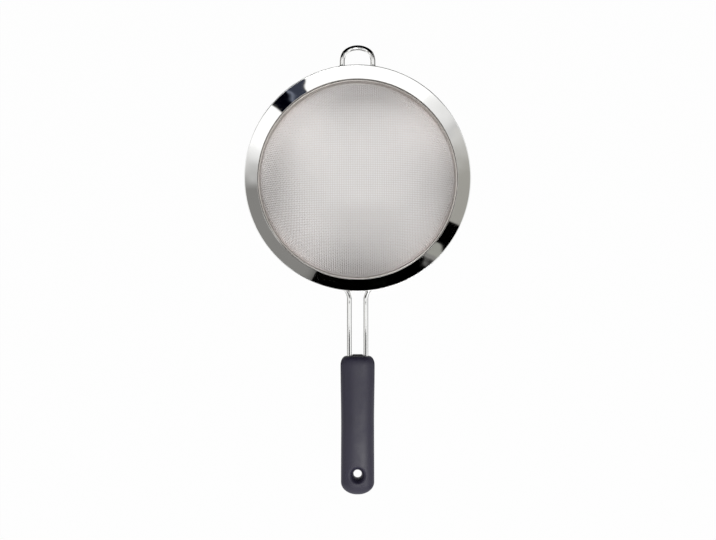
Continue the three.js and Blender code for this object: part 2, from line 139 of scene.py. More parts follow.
class SieveCloth(bpy.types.PropertyGroup):
    """Sizes of the woven wire cloth and of its hem."""

    pitch: length("Pitch", 0.002, "Distance between neighbouring wires")
    wire: length("Wire", 0.0006, "Diameter of the wires")
    hem: length("Hem thickness", 0.0006, "Thickness of the hem between collar and clamp ring")
    hem_top: length("Hem top", CLOTH_HIGH.z, "Height of the hem's upper edge")
    hem_lap: length("Hem lap", 0.0012, "How far the hem reaches down below the collar")
    most_faces: count("Most faces", 94000, "Four-sided faces that one piece of the cloth may have")


class SieveWires(bpy.types.PropertyGroup):
    """Sizes of the two handle rods and of the rest loop."""

    level: length("Level", WIRE_LEVEL, "Height of the wires' middle")
    rod: length("Rod", ROD_HIGH.z - ROD_LOW.z, "Diameter of the handle rods")
    rod_spacing: length("Rod spacing", 0.0166, "Distance between the middles of the rods")
    rod_bend: length("Rod bend", 0.013, "Bend of a rod's middle onto the rim")
    rod_tail: length("Rod tail", 0.026, "Length of rod that follows the rim underneath")
    loop: length("Loop wire", 2 * (LOOP_HIGH.z - WIRE_LEVEL), "Diameter of the rest loop's wire")
    loop_width: length("Loop width", 0.0358, "Outer width of the rest loop")
    loop_bend: length("Loop bend", 0.008, "Bend of the loop's middle onto the rim")
    loop_tail: length("Loop tail", 0.018, "Length of wire that follows the rim underneath")
    loop_flat: length("Level arch", 0.0074, "Level stretch of the arch, before it is bent down")
    loop_droop: angle("Droop", 30, "Angle by which the end of the arch is bent down")
    loop_fold: length("Fold", 0.003, "Radius of the wire's middle where it is bent down")
    sides: count("Sides", 28, "Sides of a wire's round section")


class SieveGrip(bpy.types.PropertyGroup):
    """Sizes of the soft cover of the grip."""

    front: length("Front", GRIP_HIGH.y, "Place of the grip's front face along the handle")
    whole_length: length("Length", GRIP_HIGH.y - GRIP_LOW.y, "Length of the grip")
    front_width: length("Front width", 0.0232, "Width of the front face")
    front_thickness: length("Front thickness", 0.013, "Thickness at the front face")
    shoulder_length: length("Shoulder length", 0.009, "Length of the rounded shoulder")
    shoulder_width: length("Shoulder width", 0.0345, "Width behind the shoulder")
    shoulder_thickness: length("Shoulder thickness", 0.020, "Thickness behind the shoulder")
    waist_width: length("Waist width", 0.0333, "Width at the waist")
    waist_thickness: length("Waist thickness", 0.022, "Thickness at the waist")
    tail_length: length("Tail length", 0.0125, "Length of the rounded tail")
    tail_width: length("Tail width", 0.0336, "Width in front of the tail")
    tail_thickness: length("Tail thickness", 0.019, "Thickness in front of the tail")
    fullness: share("Fullness", 2.5, "2 is an oval section, more is squarer")
    throat: length("Hole throat", 0.0082, "Diameter of the hang hole halfway through")
    mouth: length("Hole mouth", 0.016, "Diameter of the hang hole at the faces")
    mouth_round: length("Mouth rounding", 0.0016, "Rounding of the hang hole's mouths")
    wall: length("Wall", 0.0011, "Thickness of the skin")
    slot_round: length("Slot rounding", 0.0004, "Rounding of the slot that the rods come out of")
    slot_depth: length("Slot depth", 0.006, "How far the skin runs into the slot")


class SieveFinish(bpy.types.PropertyGroup):
    """Colours of the finishes."""

    rim: colour("Rim", (0.82, 0.82, 0.81), "Mirror-polished steel sheet")
    cloth: colour("Cloth", (0.77, 0.725, 0.705), "Drawn steel wire")
    band: colour("Clamp band", (0.50, 0.47, 0.44), "Satin steel band")
    wire: colour("Rods and loop", (0.88, 0.88, 0.87), "Polished steel wire")
    core: colour("Core", (0.03, 0.03, 0.035), "Moulded black plastic")
    cover: colour("Cover", (0.0165, 0.0138, 0.0335), "Charcoal soft rubber")


class SieveStudio(bpy.types.PropertyGroup):
    """Camera, lamp, floor and the boards that the polished steel reflects."""

    camera_height: length("Camera height", 0.9, "Height of the camera above the lip's flat top")
    view_width: length("View width", 0.716, "Width that the picture shows at the lip's flat top")
    wall_radius: length("Wall radius", 2.2, "Radius of the ring of boards round the bowl")
    wall_height: length("Wall height", 1.25, "Height of the ring of boards")
    room_height: length("Room height", 4.3, "Height of the dark room above the boards at the back")
    room_half: angle("Room width", 59, "Half the width of the dark room, seen from the bowl's axis")
    floor: length("Floor", 8.0, "Half the width of the floor")
    paper: share("Paper", 0.6, "Brightness of the floor's paper")
    glow: share("Background", 0.98, "Share of the floor that is plain white to the camera")
    shaded: share("Shaded background", 0.8, "That share in the shade under the bowl")
    side_shade: share("Side shade", 0.75, "How much darker the shade is near the rim at its four sides")
    corner_shade: share("Corner shade", 0.2, "How much darker it is near the rim between the sides")
    near_shade: share("Near shade", 0.17, "How much darker the shade is towards the handle")
    world: share("World", 0.48, "Brightness of the sky for soft light")
    key: share("Key lamp", 12.0, "Power of the large soft lamp, in watts")
    key_size: length("Key lamp size", 0.9, "Width of the large soft lamp")


class SieveSettings(bpy.types.PropertyGroup):
    """All sizes and colours of the sieve."""

    rim: PointerProperty(type=SieveRim, name="Rim", description="Rim and clamp ring")
    cloth: PointerProperty(type=SieveCloth, name="Cloth", description="Woven wire cloth")
    wires: PointerProperty(type=SieveWires, name="Wires", description="Rods and rest loop")
    grip: PointerProperty(type=SieveGrip, name="Grip", description="Soft cover of the grip")
    finish: PointerProperty(type=SieveFinish, name="Finish", description="Colours")
    studio: PointerProperty(type=SieveStudio, name="Studio", description="Camera and light")


# Pieces and the frame


def put_in_scene(name, data):
    """New object of that data, linked to the scene."""
    made = bpy.data.objects.new(name, data)
    bpy.context.scene.collection.objects.link(made)
    return made


def add_to_stage(name, mesh, material, seen):
    """Puts a mesh in the scene that isn't part of the object, and that the camera sees or doesn't."""
    mesh.materials.append(material)
    thing = put_in_scene(name, mesh)
    thing.visible_camera = seen
    return thing


def add_piece(name, mesh, material, nodes):
    """Puts a finished mesh in the scene, in place of CAD nodes and on their body."""
    mesh.name = name
    mesh.materials.clear()
    mesh.materials.append(material)
    piece = put_in_scene(name, mesh)
    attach(piece, BODY)
    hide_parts(*nodes)
    return piece


def mesh_from(bm):
    """Smooth mesh of a finished bmesh."""
    for face in bm.faces:
        face.smooth = True
    mesh = bpy.data.meshes.new("piece")
    bm.to_mesh(mesh)
    bm.free()
    return mesh


def tidy(bm):
    """Merges doubles and turns every face outwards."""
    bmesh.ops.remove_doubles(bm, verts=bm.verts[:], dist=MERGE)
    bmesh.ops.recalc_face_normals(bm, faces=bm.faces[:])


def edges_between(verts):
    """Edges whose two ends are both among the given vertices."""
    inside = set(verts)
    return list({e for v in verts for e in v.link_edges if e.other_vert(v) in inside})


def extruded(bm, edges):
    """Extrudes edges in place and returns the new vertices."""
    made = bmesh.ops.extrude_edge_only(bm, edges=edges)["geom"]
    return [part for part in made if isinstance(part, bmesh.types.BMVert)]


# Finishes

# Sockets of a Mix node's two colours and of the colour that comes out
MIX_FIRST = 6
MIX_SECOND = 7
MIX_RESULT = 2
# Range that most of a soft noise stays in
PATTERN_LOW = 0.3
PATTERN_HIGH = 0.7


def add_node(tree, kind, inputs=None, **settings):
    """Shader node with its settings. An input is a value, or an output that is linked to it."""
    node = tree.nodes.new(kind)
    for key, value in settings.items():
        setattr(node, key, value)
    for key, value in (inputs or {}).items():
        if isinstance(value, bpy.types.NodeSocket):
            tree.links.new(value, node.inputs[key])
        else:
            node.inputs[key].default_value = value
    return node


def new_finish(name, metallic, roughness):
    """Material with one Principled shader, and Object coordinates for its patterns."""
    material = bpy.data.materials.new(name)
    material.use_nodes = True
    tree = material.node_tree
    shader = tree.nodes["Principled BSDF"]
    shader.inputs["Metallic"].default_value = metallic
    shader.inputs["Roughness"].default_value = roughness
    return material, tree, shader, object_places(tree)


def bare_material(name):
    """Material with no shader yet, its node tree, and the socket that takes its surface."""
    material = bpy.data.materials.new(name)
    material.use_nodes = True
    tree = material.node_tree
    tree.nodes.remove(tree.nodes["Principled BSDF"])
    return material, tree, tree.nodes["Material Output"].inputs["Surface"]


def object_places(tree):
    """Object coordinates, which are the frame's own metres."""
    return tree.nodes.new("ShaderNodeTexCoord").outputs["Object"]


def mapped(tree, places, centre=(0, 0, 0), scale=(1, 1, 1)):
    """Coordinates counted from a centre, then stretched."""
    moved = add_node(
        tree, "ShaderNodeMapping", {"Vector": places, "Location": centre}, vector_type="TEXTURE"
    )
    return add_node(
        tree, "ShaderNodeMapping", {"Vector": moved.outputs[0], "Scale": scale}
    ).outputs[0]


def across_circle(tree, places, centre, radius):
    """Places counted from a centre in shares of a radius, their X and Y, and the squares of both."""
    flat = mapped(tree, places, centre, (1 / radius, 1 / radius, 0))
    split = add_node(tree, "ShaderNodeSeparateXYZ", {0: flat}).outputs
    squares = [combine(tree, "MULTIPLY", split[axis], split[axis]) for axis in "XY"]
    return flat, split, *squares


def noise(tree, places, scale, detail=2.0):
    """Soft noise with about that many lumps per metre."""
    return add_node(
        tree, "ShaderNodeTexNoise", {"Vector": places, "Scale": scale, "Detail": detail}
    ).outputs["Fac"]


def ranged(tree, value, low, high, start=PATTERN_LOW, end=PATTERN_HIGH):
    """Maps the range from start to end, or else that of a soft noise, onto low to high."""
    inputs = {"Value": value, "From Min": start, "From Max": end, "To Min": low, "To Max": high}
    return add_node(tree, "ShaderNodeMapRange", inputs).outputs[0]


def mixed(tree, factor, first, second, label=""):
    """Colour that goes from first to second as a factor goes from 0 to 1."""
    inputs = {"Factor": factor, MIX_FIRST: first, MIX_SECOND: second}
    mix = add_node(tree, "ShaderNodeMix", inputs, data_type="RGBA", label=label)
    return mix.outputs[MIX_RESULT]


def tinted(tree, shader, value, base, low, high):
    """Links a base colour that a pattern makes darker or lighter."""
    dark = [low * part for part in base] + [1]
    light = [min(1, high * part) for part in base] + [1]
    shade = mixed(tree, ranged(tree, value, 0, 1), dark, light)
    tree.links.new(shade, shader.inputs["Base Color"])


def roughened(tree, shader, value, low, high):
    """Links a roughness that a pattern takes from low to high."""
    tree.links.new(ranged(tree, value, low, high), shader.inputs["Roughness"])


def combine(tree, operation, first, second):
    """Result of a calculation with two values or outputs."""
    return add_node(tree, "ShaderNodeMath", {0: first, 1: second}, operation=operation).outputs[0]


def bumped(tree, shader, height, depth, strength=1.0):
    """Lets a pattern tilt the surface as if it were that deep."""
    inputs = {"Height": height, "Distance": depth, "Strength": strength}
    bump = add_node(tree, "ShaderNodeBump", inputs)
    tree.links.new(bump.outputs[0], shader.inputs["Normal"])


# How patterns are stretched: flat over the rim, fine lines round the band, long marks along the rods
FLAT = (1, 1, 0)
BAND_LINES = (1, 1, 90)
ROD_MARKS = (1, 0.02, 1)
LOOP_MARKS = (1, 1, 1)


def rim_finish(base):
    """Mirror polish with faint lines round the axis and the slight waves of a pressed sheet."""
    material, tree, shader, places = new_finish("polished_rim", metallic=1.0, roughness=0.05)
    flat = mapped(tree, places, BOWL_AXIS, FLAT)
    reach = add_node(tree, "ShaderNodeVectorMath", {0: flat}, operation="LENGTH").outputs["Value"]
    lines = add_node(
        tree, "ShaderNodeTexNoise", {"W": reach, "Scale": 2600, "Detail": 2}, noise_dimensions="1D"
    ).outputs["Fac"]
    roughened(tree, shader, lines, low=0.025, high=0.075)
    tinted(tree, shader, noise(tree, places, scale=22), base, low=0.965, high=1.02)
    bumped(tree, shader, noise(tree, places, scale=60, detail=0.0), depth=0.0005)
    return material


def band_finish(base):
    """Satin band with fine lines that run round it."""
    material, tree, shader, places = new_finish("satin_band", metallic=1.0, roughness=0.3)
    lines = noise(tree, mapped(tree, places, BOWL_AXIS, BAND_LINES), scale=60, detail=3.0)
    roughened(tree, shader, lines, low=0.24, high=0.4)
    tinted(tree, shader, lines, base, low=0.9, high=1.05)
    return material


def wire_finish(name, base, stretch):
    """Polished wire with drawing marks along it."""
    material, tree, shader, places = new_finish(name, metallic=1.0, roughness=0.06)
    marks = noise(tree, mapped(tree, places, scale=stretch), scale=900)
    roughened(tree, shader, marks, low=0.035, high=0.1)
    tinted(tree, shader, noise(tree, places, scale=60), base, low=0.96, high=1.02)
    return material


# Painted light and shade of the cloth: how strong the painted highlight is between the four sides, how
# far its tone drifts and over how many lumps to the bowl's radius, and its darkest and lightest tint
PAINTED_LIGHT_BETWEEN_SIDES = 3.5
DRIFT = 0.12
DRIFT_LUMPS = 1.6
CLOTH_DARKEST = 0.72
CLOTH_LIGHTEST = 1.28


def cloth_finish(base, radius):
    """Drawn wire whose tone drifts slowly and at random across the bowl. Near the rim a painted shade
    darkens it at the four sides, and a painted highlight lightens it between them."""
    material, tree, shader, places = new_finish("woven_wire", metallic=1.0, roughness=0.35)
    flat, _, square_x, square_y = across_circle(tree, places, BOWL_AXIS, radius)
    # Painted shade: the square of this is largest near the rim at the four sides
    straight = combine(tree, "SUBTRACT", square_x, square_y)
    painted_shade_at_sides = combine(tree, "MULTIPLY", straight, straight)
    # Painted highlight near the rim between the four sides
    bright = combine(tree, "MULTIPLY", combine(tree, "MULTIPLY", square_x, square_y), PAINTED_LIGHT_BETWEEN_SIDES)
    drift = ranged(tree, noise(tree, flat, DRIFT_LUMPS), -DRIFT, DRIFT)
    # Tone that drifts at random, plus the painted highlight, less the painted shade
    tone_and_painted_light = combine(tree, "ADD", drift, combine(tree, "SUBTRACT", bright, painted_shade_at_sides))
    pattern = ranged(tree, tone_and_painted_light, PATTERN_LOW, PATTERN_HIGH, start=-1, end=1)
    tinted(tree, shader, pattern, base, CLOTH_DARKEST, CLOTH_LIGHTEST)
    return material


def core_finish(base):
    """Moulded plastic with a fine spark-eroded grain."""
    material, tree, shader, places = new_finish("moulded_core", metallic=0.0, roughness=0.42)
    grain = noise(tree, places, scale=2400, detail=3.0)
    roughened(tree, shader, grain, low=0.36, high=0.5)
    tinted(tree, shader, noise(tree, places, scale=180), base, low=0.85, high=1.15)
    bumped(tree, shader, grain, depth=0.00002)
    return material


def cover_finish(base):
    """Soft rubber with a fine moulded grain and faint cloudy handling marks."""
    material, tree, shader, places = new_finish("soft_cover", metallic=0.0, roughness=0.5)
    grain = noise(tree, places, scale=2600, detail=3.0)
    clouds = noise(tree, places, scale=70, detail=4.0)
    roughened(tree, shader, clouds, low=0.42, high=0.54)
    tinted(tree, shader, clouds, base, low=0.92, high=1.08)
    bumped(tree, shader, grain, depth=0.00003, strength=0.7)
    return material


# Rim, clamp ring and hem

ROUND_SEGMENTS = 5


def spun_ring(corners, steps, longest):
    """Closed outline of (radius, height, rounding) corners, turned about the bowl's axis. Its edges
    are cut up until none is longer than longest."""
    bm = bmesh.new()
    verts = [bm.verts.new((radius, BOWL_Y, height)) for radius, height, _ in corners]
    for here, ahead in zip(verts, verts[1:] + verts[:1]):
        bm.edges.new((here, ahead))
    for vert, (_, _, rounding) in zip(verts, corners):
        if rounding:
            bmesh.ops.bevel(
                bm, geom=[vert], offset=rounding, offset_type="OFFSET", segments=ROUND_SEGMENTS,
                profile=0.5, affect="VERTICES", material=-1,
            )
    for edge in bm.edges[:]:
        cuts = int(edge.calc_length() / longest)
        if cuts:
            bmesh.ops.subdivide_edges(bm, edges=[edge], cuts=cuts)
    bmesh.ops.spin(
        bm, geom=bm.verts[:] + bm.edges[:], cent=BOWL_AXIS, axis=UP, angle=FULL_TURN,
        steps=steps, use_merge=True,
    )
    tidy(bm)
    return mesh_from(bm)


class SIEVE_OT_rim(bpy.types.Operator):
    """Make the polished rim: lip, cone and collar"""

    bl_idname = "sieve.rim"
    bl_label = "Rim"

    def execute(self, context):
        settings = context.scene.sieve
        rim = settings.rim
        slope = math.tan(rim.cone_slope)
        under = rim.sheet / math.cos(rim.cone_slope)
        cone_top = rim.radius - rim.lip_width
        inner = cone_top - rim.cone_width
        outer = inner + rim.sheet
        collar_top = rim.top - rim.lip_step - rim.cone_width * slope
        fold = cone_top - (rim.lip_height - rim.lip_step - under) / slope
        fold_height = rim.top - rim.lip_height
        bend_under = fold_height - (fold - outer) * slope
        corners = [
            (inner, rim.bottom, rim.edge_round),
            (outer, rim.bottom, rim.edge_round),
            (outer, bend_under, rim.bend),
            (fold, fold_height, rim.edge_round),
            (rim.radius, fold_height, rim.lip_round),
            (rim.radius, rim.top, rim.lip_round),
            (cone_top + rim.lip_step / slope, rim.top, rim.edge_round),
            (cone_top, rim.top - rim.lip_step, 0),
            (inner, collar_top, rim.bend),
        ]
        mesh = spun_ring(corners, rim.steps, rim.sheet)
        finish = rim_finish(settings.finish.rim)
        add_piece("rim", mesh, finish, ["rim_flange"])
        return {"FINISHED"}


class SIEVE_OT_clamp_ring(bpy.types.Operator):
    """Make the clamp ring that holds the cloth inside the collar"""

    bl_idname = "sieve.clamp_ring"
    bl_label = "Clamp ring"

    def execute(self, context):
        settings = context.scene.sieve
        rim = settings.rim
        outer = rim.clamp_lap - rim.fit - settings.cloth.hem
        inner = outer - rim.clamp_sheet
        flange = rim.clamp_top - rim.clamp_sheet
        corners = [
            (inner, rim.bottom, rim.edge_round),
            (outer, rim.bottom, rim.edge_round),
            (outer, flange, 0),
            (rim.clamp_lap, flange, rim.edge_round),
            (rim.clamp_lap, rim.clamp_top, rim.clamp_sheet / 2),
            (inner, rim.clamp_top, rim.clamp_sheet),
        ]
        mesh = spun_ring(corners, rim.steps, 2 * rim.clamp_sheet)
        finish = band_finish(settings.finish.band)
        add_piece("clamp_band", mesh, finish, ["clamp_ring"])
        return {"FINISHED"}


# Wire cloth

# Sides of a wire, places along it for each pitch, and the least part of a pitch before its end
WIRE_SIDES = 6
PLACES_PER_PITCH = 3
LEAST_END = 0.1
# Steps that the bowl's curve is measured in, and rounds in which a crossing is found
CURVE_STEPS = 4000
FINDING_ROUNDS = 6


class Bowl:
    """Surface of the cloth: half a spheroid that runs on straight up between collar and clamp ring."""

    def __init__(self, radius, edge, depth):
        self.radius = radius
        self.edge = edge
        self.depth = depth

    def level(self, points):
        """Zero on the bowl, negative inside it."""
        below = np.maximum(0, self.edge - points[:, 2]) / self.depth
        return (points[:, 0] ** 2 + points[:, 1] ** 2) / self.radius**2 + below**2 - 1

    def outward(self, points):
        """Half the gradient of level, which points out of the bowl."""
        below = np.maximum(0, self.edge - points[:, 2]) / self.depth**2
        flat = points[:, :2] / self.radius**2
        return np.column_stack([flat, -below])

    def meridian(self, pitch, reach):
        """Radii and heights of points a pitch apart, from the lowest point up to reach."""
        turns = np.linspace(-QUARTER, 0, CURVE_STEPS)
        radii = np.append(self.radius * np.cos(turns), self.radius)
        heights = np.append(self.edge + self.depth * np.sin(turns), reach)
        along = np.append(0, np.cumsum(np.hypot(np.diff(radii), np.diff(heights))))
        stations = np.arange(0, along[-1], pitch)
        return np.interp(stations, along, radii), np.interp(stations, along, heights)


def crossings(bowl, pitch, reach):
    """Crossings of one quarter of the cloth. Flat cloth drawn into a bowl keeps the pitch of its
    wires and shears, so each crossing lies one pitch from the two before it."""
    radii, heights = bowl.meridian(pitch, reach)
    rows = len(radii)
    net = np.full((rows, rows, 3), np.nan)
    net[:, 0] = np.column_stack([radii, np.zeros(rows), heights])
    net[0, :] = np.column_stack([np.zeros(rows), radii, heights])
    for diagonal in range(2, 2 * rows - 1):
        i = np.arange(max(1, diagonal - rows + 1), min(rows, diagonal))
        j = diagonal - i
        held = net[i - 1, j - 1, 2] < bowl.edge
        i, j = i[held], j[held]
        before, beside = net[i - 1, j], net[i, j - 1]
        points = before + beside - net[i - 1, j - 1]
        for _ in range(FINDING_ROUNDS):
            sides = np.stack([points - before, points - beside, bowl.outward(points)], axis=1)
            miss = np.column_stack([
                (sides[:, 0] ** 2).sum(1) - pitch**2,
                (sides[:, 1] ** 2).sum(1) - pitch**2,
                bowl.level(points),
            ])
            points = points - np.linalg.solve(2 * sides, miss[:, :, None])[:, :, 0]
        net[i, j] = points
    return net


def woven_wires(bowl, net, wire, end, weft):
    """Routes of the wires one way across the cloth, each over one crossing and under the next. They
    run along Y, or along X for the weft, up to the height end, and lie flat there."""
    routes = []
    rows = len(net)
    along, across = (0, 1) if weft else (1, 0)
    for place in range(1 - rows, rows):
        half = net[:, abs(place)] if weft else net[abs(place)]
        whole = np.count_nonzero(half[:, 2] < end)
        if whole < 2:
            continue
        lower, upper = half[whole - 1, 2], half[whole, 2]
        reach = whole - 1 + (end - lower) / (upper - lower)
        stations = np.append(np.arange(0, reach - LEAST_END, 1 / PLACES_PER_PITCH), reach)
        points = np.column_stack([np.interp(stations, range(len(half)), p) for p in half.T])
        other = points[:0:-1].copy()
        other[:, along] *= -1
        points = np.concatenate([other, points])
        points[:, across] *= np.sign(place)
        counts = np.concatenate([-stations[:0:-1], stations])
        rise = wire / 2 * np.cos(np.pi * (counts + place + weft)) * np.clip(reach - abs(counts), 0, 1)
        out = bowl.outward(points)
        out /= np.linalg.norm(out, axis=1)[:, None]
        routes.append(points + out * rise[:, None] + np.array(BOWL_AXIS))
    return routes


def wire_mesh(routes, wire):
    """Mesh of the wires along the routes."""
    curve = bpy.data.curves.new("wires", "CURVE")
    curve.dimensions = "3D"
    curve.bevel_depth = wire / 2
    curve.bevel_resolution = WIRE_SIDES // 2 - 2
    curve.use_fill_caps = True
    for route in routes:
        spline = curve.splines.new("POLY")
        spline.points.add(len(route) - 1)
        spline.points.foreach_set("co", np.column_stack([route, np.ones(len(route))]).ravel())
    holder = put_in_scene("wires", curve)
    graph = bpy.context.evaluated_depsgraph_get()
    drawn = bpy.data.meshes.new_from_object(holder.evaluated_get(graph))
    bm = bmesh.new()
    bm.from_mesh(drawn)
    tidy(bm)
    bpy.data.objects.remove(holder)
    bpy.data.curves.remove(curve)
    bpy.data.meshes.remove(drawn)
    return mesh_from(bm)


def map_from_above(mesh, radius):
    """Gives a mesh the UV map for baked colours, as it is seen from above."""
    corners = np.empty(len(mesh.loops), np.int32)
    mesh.loops.foreach_get("vertex_index", corners)
    places = np.empty(3 * len(mesh.vertices), np.float32)
    mesh.vertices.foreach_get("co", places)
    flat = places.reshape(-1, 3)[:, :2] - np.array(BOWL_AXIS)[:2]
    layer = mesh.uv_layers.new(name="OFBake", do_init=False)
    layer.uv.foreach_set("vector", (0.5 + flat[corners] / (2 * radius)).astype(np.float32).ravel())


def shared_out(routes, most):
    """Splits routes into runs of neighbours whose wires have at most so many faces together."""
    faces = np.cumsum([WIRE_SIDES * (len(route) - 1) for route in routes])
    runs = math.ceil(faces[-1] / most)
    which = np.minimum((faces * runs / (faces[-1] + 1)).astype(int), runs - 1)
    return [[r for r, own in zip(routes, which) if own == run] for run in range(runs)]


class SIEVE_OT_cloth(bpy.types.Operator):
    """Weave the wire cloth of the bowl, and make its hem"""

    bl_idname = "sieve.cloth"
    bl_label = "Wire cloth"

    def execute(self, context):
        settings = context.scene.sieve
        rim, cloth = settings.rim, settings.cloth
        radius = rim.clamp_lap - cloth.hem / 2
        edge = rim.bottom - rim.fit
        bowl = Bowl(radius, edge, edge - cloth.wire)
        net = crossings(bowl, cloth.pitch, edge + 2 * cloth.pitch)
        finish = cloth_finish(settings.finish.cloth, radius)
        for weft, name in ((0, "cloth_warp"), (1, "cloth_weft")):
            routes = woven_wires(bowl, net, cloth.wire, edge, weft)
            for number, run in enumerate(shared_out(routes, cloth.most_faces), 1):
                mesh = wire_mesh(run, cloth.wire)
                map_from_above(mesh, rim.radius)
                add_piece(f"{name}_{number}", mesh, finish, ["mesh_bowl"])
        inner, outer = radius - cloth.hem / 2, radius + cloth.hem / 2
        low = edge - cloth.hem_lap
        corners = [
            (inner, low, rim.edge_round),
            (outer, low, rim.edge_round),
            (outer, cloth.hem_top, 0),
            (inner, cloth.hem_top, 0),
        ]
        hem = spun_ring(corners, rim.steps, cloth.hem_top - low)
        add_piece("cloth_hem", hem, finish, ["mesh_bowl"])
        return {"FINISHED"}


# Rods and rest loop

# Steps along the wires, segments of their rounded ends, and diameter over rounding there
ROD_STEPS = 40
ROD_BEND_STEPS = 20
ROD_TAIL_STEPS = 24
LOOP_LEG_STEPS = 4
LOOP_BEND_STEPS = 18
ARCH_STEPS = 72
CAP_SEGMENTS = 4
CAP_PART = 6


class Tube:
    """Round wire that grows from one end by straight runs and level bends."""

    def __init__(self, start, heading, diameter, sides):
        self.bm = bmesh.new()
        turn = heading.to_track_quat("Z", "Y").to_matrix().to_4x4()
        made = bmesh.ops.create_circle(
            self.bm, segments=sides, radius=diameter / 2, matrix=Matrix.Translation(start) @ turn
        )
        self.ring = edges_between(made["verts"])
        self.caps = [list(self.ring)]
        self.rounding = diameter / CAP_PART

    def run(self, move, steps):
        """Grows straight on by a vector, in equal steps."""
        for _ in range(steps):
            verts = extruded(self.bm, self.ring)
            bmesh.ops.translate(self.bm, verts=verts, vec=move / steps)
            self.ring = edges_between(verts)

    def bend(self, middle, turn, steps):
        """Grows along an arc about a vertical axis."""
        made = bmesh.ops.spin(
            self.bm, geom=self.ring, cent=middle, axis=UP, angle=turn, steps=steps
        )["geom_last"]
        self.ring = [part for part in made if isinstance(part, bmesh.types.BMEdge)]

    def fold(self, line, radius, most):
        """Bends everything past a line across Y down, about an axis that far below the wire."""
        for vert in self.bm.verts:
            past = vert.co.y - line.y
            turn = min(max(0, past / radius), most)
            straight = past - turn * radius
            reach = vert.co.z - line.z + radius
            vert.co.y = line.y + reach * math.sin(turn) + straight * math.cos(turn)
            vert.co.z = line.z - radius + reach * math.cos(turn) - straight * math.sin(turn)

    def mesh(self):
        """Closes both ends with rounded caps."""
        self.caps.append(list(self.ring))
        for ring in self.caps:
            bmesh.ops.contextual_create(self.bm, geom=ring)
        tidy(self.bm)
        ends = [e for f in self.bm.faces if len(f.verts) > 4 for e in f.edges]
        bmesh.ops.bevel(
            self.bm, geom=ends, offset=self.rounding, offset_type="OFFSET", segments=CAP_SEGMENTS,
            profile=0.5, affect="EDGES", material=-1,
        )
        return mesh_from(self.bm)


def radius_under_cone(rim, wires, diameter):
    """Radius at which a wire's middle lies against the underside of the cone."""
    underside = rim.lip_step + rim.sheet / math.cos(rim.cone_slope)
    away = diameter / 2 + rim.fit
    drop = rim.top - wires.level
    cone_top = rim.radius - rim.lip_width
    aside = away - (drop - underside) * math.cos(rim.cone_slope)
    return cone_top + aside / math.sin(rim.cone_slope)


def bend_onto_rim(x, bend, follow):
    """Middle of the bend from a straight wire at x onto the circle of radius follow, counted from
    the bowl's axis, and the angle from the wire's own side of the rim at which the circle starts."""
    middle = Vector((x + bend, math.sqrt((follow + bend) ** 2 - (x + bend) ** 2), 0))
    return middle, math.asin((x + bend) / (follow + bend))


class SIEVE_OT_rods(bpy.types.Operator):
    """Make the two rods from the grip to the rim"""

    bl_idname = "sieve.rods"
    bl_label = "Handle rods"

    def execute(self, context):
        settings = context.scene.sieve
        rim, wires = settings.rim, settings.wires
        finish = wire_finish("polished_rod", settings.finish.wire, ROD_MARKS)
        follow = radius_under_cone(rim, wires, wires.rod)
        x = wires.rod_spacing / 2
        middle, turn = bend_onto_rim(x, wires.rod_bend, follow)
        level = BOWL_AXIS + wires.level * UP
        for side, name in ((-1, "left"), (1, "right")):
            bend_middle = level + Vector((side * middle.x, -middle.y, 0))
            start = Vector((side * x, ROD_LOW.y, wires.level))
            tube = Tube(start, Vector((0, 1, 0)), wires.rod, wires.sides)
            tube.run(Vector((0, bend_middle.y - ROD_LOW.y, 0)), ROD_STEPS)
            tube.bend(bend_middle, -side * (QUARTER - turn), ROD_BEND_STEPS)
            tube.bend(level, side * wires.rod_tail / follow, ROD_TAIL_STEPS)
            add_piece(f"rod_{name}", tube.mesh(), finish, [f"handle_rod_{name}"])
        return {"FINISHED"}


class SIEVE_OT_rest_loop(bpy.types.Operator):
    """Make the wire loop that rests on the edge of a pot"""

    bl_idname = "sieve.rest_loop"
    bl_label = "Rest loop"

    def execute(self, context):
        settings = context.scene.sieve
        rim, wires = settings.rim, settings.wires
        finish = wire_finish("polished_loop", settings.finish.wire, LOOP_MARKS)
        follow = radius_under_cone(rim, wires, wires.loop)
        x = (wires.loop_width - wires.loop) / 2
        middle, turn = bend_onto_rim(x, wires.loop_bend, follow)
        level = BOWL_AXIS + wires.level * UP
        bent = x - wires.loop_flat - wires.loop_fold * wires.loop_droop
        drawn_in = wires.loop_fold * math.sin(wires.loop_droop) + bent * math.cos(wires.loop_droop)
        fold_y = LOOP_HIGH.y - wires.loop / 2 - drawn_in
        arch_y = fold_y - wires.loop_flat
        leg = Vector((0, arch_y - BOWL_Y - middle.y, 0))
        tail = wires.loop_tail / follow
        begin = QUARTER - turn - tail
        start = level + follow * Vector((math.cos(begin), math.sin(begin), 0))
        heading = Vector((-math.sin(begin), math.cos(begin), 0))
        tube = Tube(start, heading, wires.loop, wires.sides)
        tube.bend(level, tail, LOOP_BEND_STEPS)
        tube.bend(level + middle, turn - QUARTER, LOOP_BEND_STEPS)
        tube.run(leg, LOOP_LEG_STEPS)
        tube.bend(Vector((0, arch_y, wires.level)), math.pi, ARCH_STEPS)
        tube.run(-leg, LOOP_LEG_STEPS)
        tube.bend(level + Vector((-middle.x, middle.y, 0)), turn - QUARTER, LOOP_BEND_STEPS)
        tube.bend(level, tail, LOOP_BEND_STEPS)
        tube.fold(Vector((0, fold_y, wires.level)), wires.loop_fold, wires.loop_droop)
        add_piece("rest_loop_wire", tube.mesh(), finish, ["rest_loop"])
        return {"FINISHED"}


# Grip

# Points of half a section, and sections along the shoulder, the body and the tail
HALF_POINTS = 62
SHOULDER_SECTIONS = 16
BODY_SECTIONS = 96
TAIL_SECTIONS = 20
# Steps of the slot's rounding, of the hang hole's mouth and of its wall
SLOT_STEPS = 4
MOUTH_STEPS = 6
WALL_STEPS = 10
# Roundings between the hang hole's mouth and the border of the opened face, and how many points
# ahead on that border show which way round it runs
BORDER_ROUNDS = 2
POINTS_AHEAD = 5


